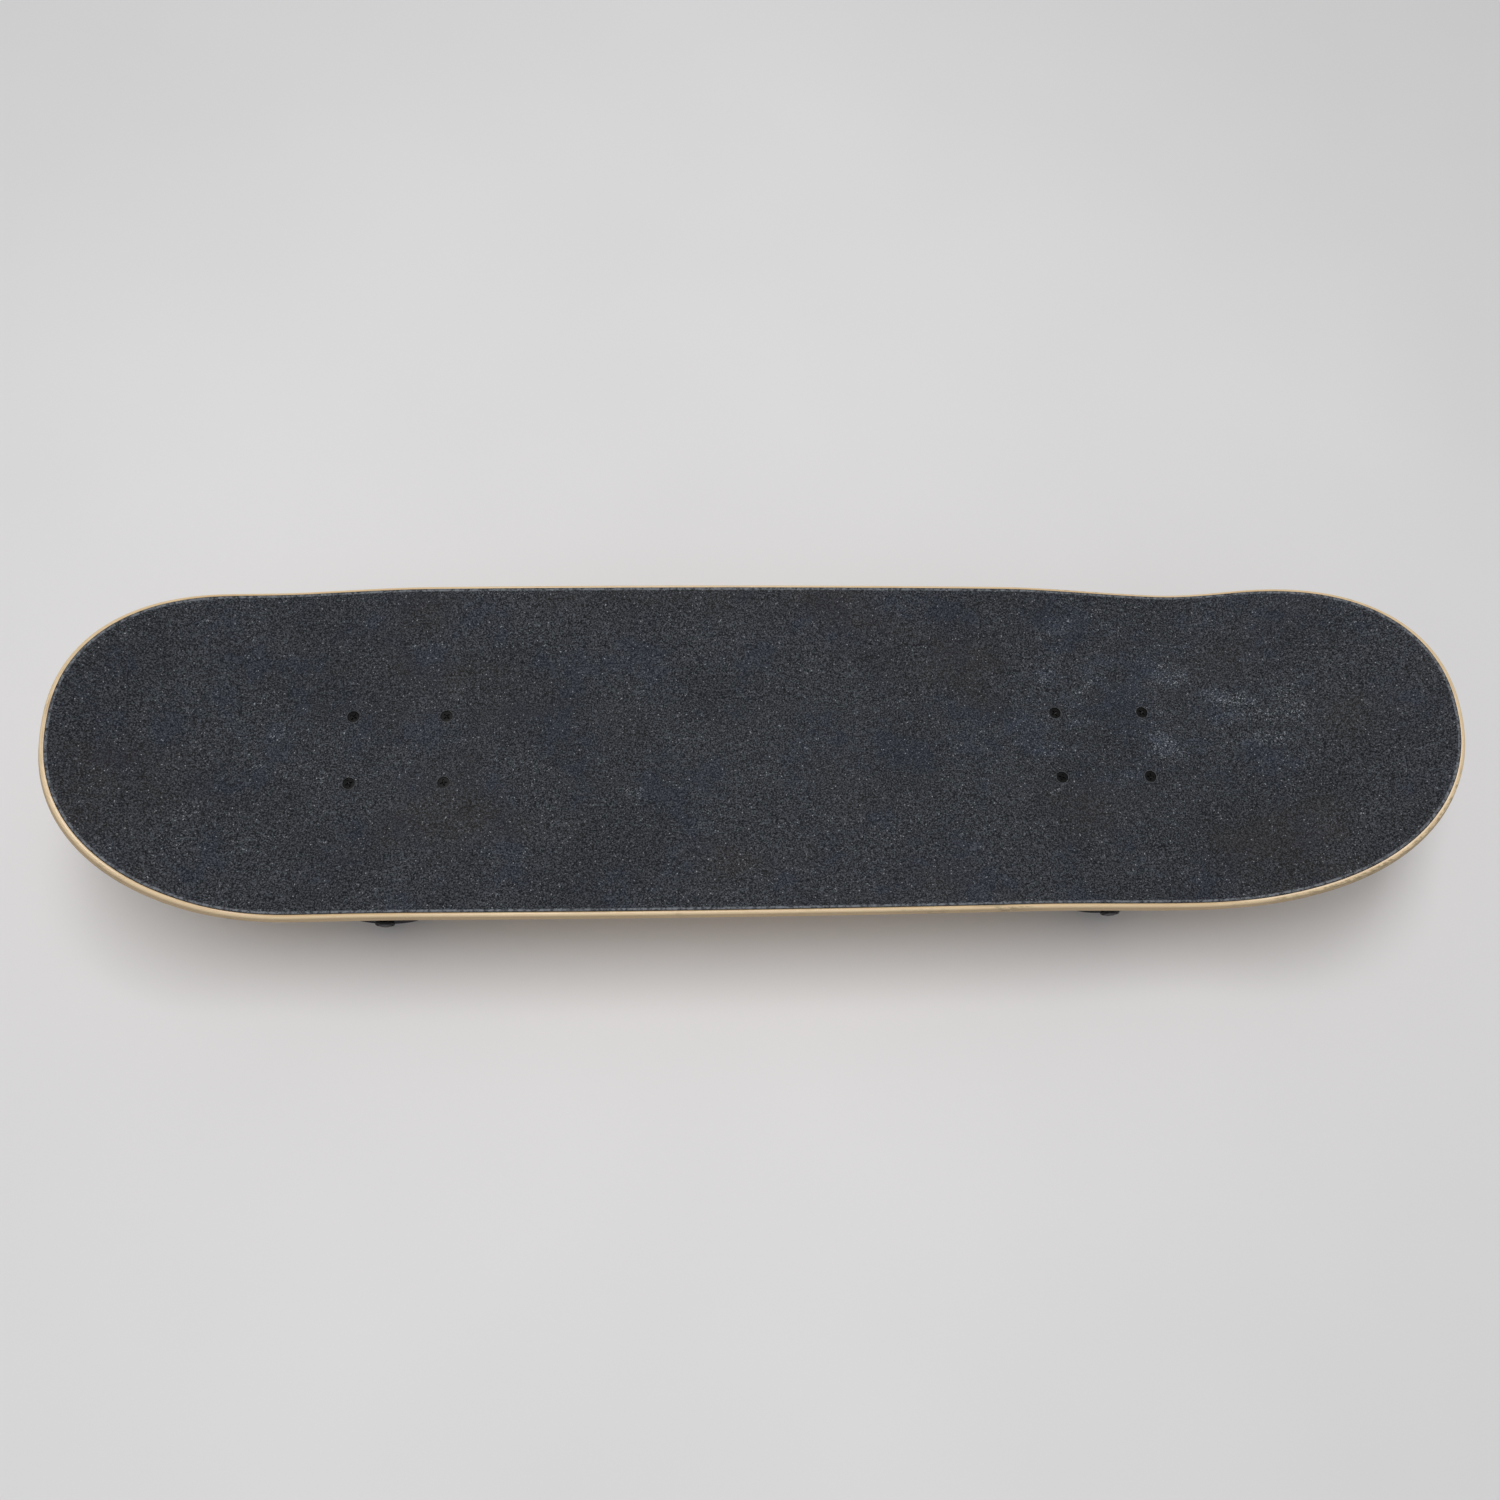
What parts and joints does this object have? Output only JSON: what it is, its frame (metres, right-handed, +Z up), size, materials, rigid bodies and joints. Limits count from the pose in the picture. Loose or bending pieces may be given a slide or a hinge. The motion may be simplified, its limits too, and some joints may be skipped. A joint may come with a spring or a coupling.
{
  "type": "skateboard",
  "caption": "Street skateboard: kicked, concave maple deck with black grip tape on two tilting trucks with wheels on ball bearings.",
  "frame": {"origin": "middle of the bounding box at the floor under the wheels", "axes": "+X along the board towards the nose, +Y to the left of a rider facing the nose, +Z up out of the grip tape"},
  "size_m": [0.806, 0.206, 0.1441],
  "materials": {
    "maple": "lacquered maple plies, pale and a little worn at the edge",
    "grip": "black abrasive grit on a thin backing, dusty and scuffed",
    "truck_casting": "raw cast aluminium, satin",
    "cup_urethane": "black urethane",
    "kingpin_steel": "black oxide on steel",
    "bushing_urethane": "black urethane, slightly glossy",
    "black_bolt": "black oxide on steel",
    "plated_steel": "zinc plated",
    "bearing_steel": "polished races round a dark shield",
    "wheel_urethane": "black cast urethane, satin"
  },
  "bodies": {
    "board": {"deck": "maple", "grip_tape": "grip", "nose_baseplate": "truck_casting", "nose_pivot_cup": "cup_urethane", "nose_kingpin": "kingpin_steel", "nose_washer_board_side": "plated_steel", "nose_bushing_board_side": "bushing_urethane", "nose_bushing_road_side": "bushing_urethane", "nose_washer_road_side": "plated_steel", "nose_kingpin_nut": "kingpin_steel", "nose_bolt_1": "black_bolt", "nose_bolt_nut_1": "plated_steel", "nose_bolt_2": "black_bolt", "nose_bolt_nut_2": "plated_steel", "nose_bolt_3": "black_bolt", "nose_bolt_nut_3": "plated_steel", "nose_bolt_4": "black_bolt", "nose_bolt_nut_4": "plated_steel", "tail_baseplate": "truck_casting", "tail_pivot_cup": "cup_urethane", "tail_kingpin": "kingpin_steel", "tail_washer_board_side": "plated_steel", "tail_bushing_board_side": "bushing_urethane", "tail_bushing_road_side": "bushing_urethane", "tail_washer_road_side": "plated_steel", "tail_kingpin_nut": "kingpin_steel", "tail_bolt_1": "black_bolt", "tail_bolt_nut_1": "plated_steel", "tail_bolt_2": "black_bolt", "tail_bolt_nut_2": "plated_steel", "tail_bolt_3": "black_bolt", "tail_bolt_nut_3": "plated_steel", "tail_bolt_4": "black_bolt", "tail_bolt_nut_4": "plated_steel"},
    "nose_hanger": {"nose_hanger": "truck_casting", "nose_axle": "plated_steel", "nose_left_speed_washer": "plated_steel", "nose_left_axle_nut": "plated_steel", "nose_right_speed_washer": "plated_steel", "nose_right_axle_nut": "plated_steel"},
    "nose_left_wheel": {"nose_left_wheel": "wheel_urethane", "nose_left_bearing_inner": "bearing_steel", "nose_left_bearing_outer": "bearing_steel"},
    "nose_right_wheel": {"nose_right_wheel": "wheel_urethane", "nose_right_bearing_inner": "bearing_steel", "nose_right_bearing_outer": "bearing_steel"},
    "tail_hanger": {"tail_hanger": "truck_casting", "tail_axle": "plated_steel", "tail_right_speed_washer": "plated_steel", "tail_right_axle_nut": "plated_steel", "tail_left_speed_washer": "plated_steel", "tail_left_axle_nut": "plated_steel"},
    "tail_left_wheel": {"tail_left_wheel": "wheel_urethane", "tail_left_bearing_inner": "bearing_steel", "tail_left_bearing_outer": "bearing_steel"},
    "tail_right_wheel": {"tail_right_wheel": "wheel_urethane", "tail_right_bearing_inner": "bearing_steel", "tail_right_bearing_outer": "bearing_steel"}
  },
  "joints": [
    {"name": "nose_hanger_tilt", "type": "hinge", "parent": "board", "child": "nose_hanger", "pos_m": [0.23082, 0, 0.066], "axis": [0.9089, 0, 0.417], "range_deg": [-12, 12], "stiffness_Nm_per_rad": 40, "deforming": ["nose_bushing_board_side", "nose_bushing_road_side"]},
    {"name": "nose_left_wheel_spin", "type": "hinge", "parent": "nose_hanger", "child": "nose_left_wheel", "pos_m": [0.21782, 0, 0.026], "axis": [0, 1, 0], "continuous": true},
    {"name": "nose_right_wheel_spin", "type": "hinge", "parent": "nose_hanger", "child": "nose_right_wheel", "pos_m": [0.21782, 0, 0.026], "axis": [0, 1, 0], "continuous": true},
    {"name": "tail_hanger_tilt", "type": "hinge", "parent": "board", "child": "tail_hanger", "pos_m": [-0.24216, 0, 0.066], "axis": [-0.9089, 0, 0.417], "range_deg": [-12, 12], "stiffness_Nm_per_rad": 40, "deforming": ["tail_bushing_board_side", "tail_bushing_road_side"]},
    {"name": "tail_left_wheel_spin", "type": "hinge", "parent": "tail_hanger", "child": "tail_left_wheel", "pos_m": [-0.22916, 0, 0.026], "axis": [0, 1, 0], "continuous": true},
    {"name": "tail_right_wheel_spin", "type": "hinge", "parent": "tail_hanger", "child": "tail_right_wheel", "pos_m": [-0.22916, 0, 0.026], "axis": [0, 1, 0], "continuous": true}
  ]
}
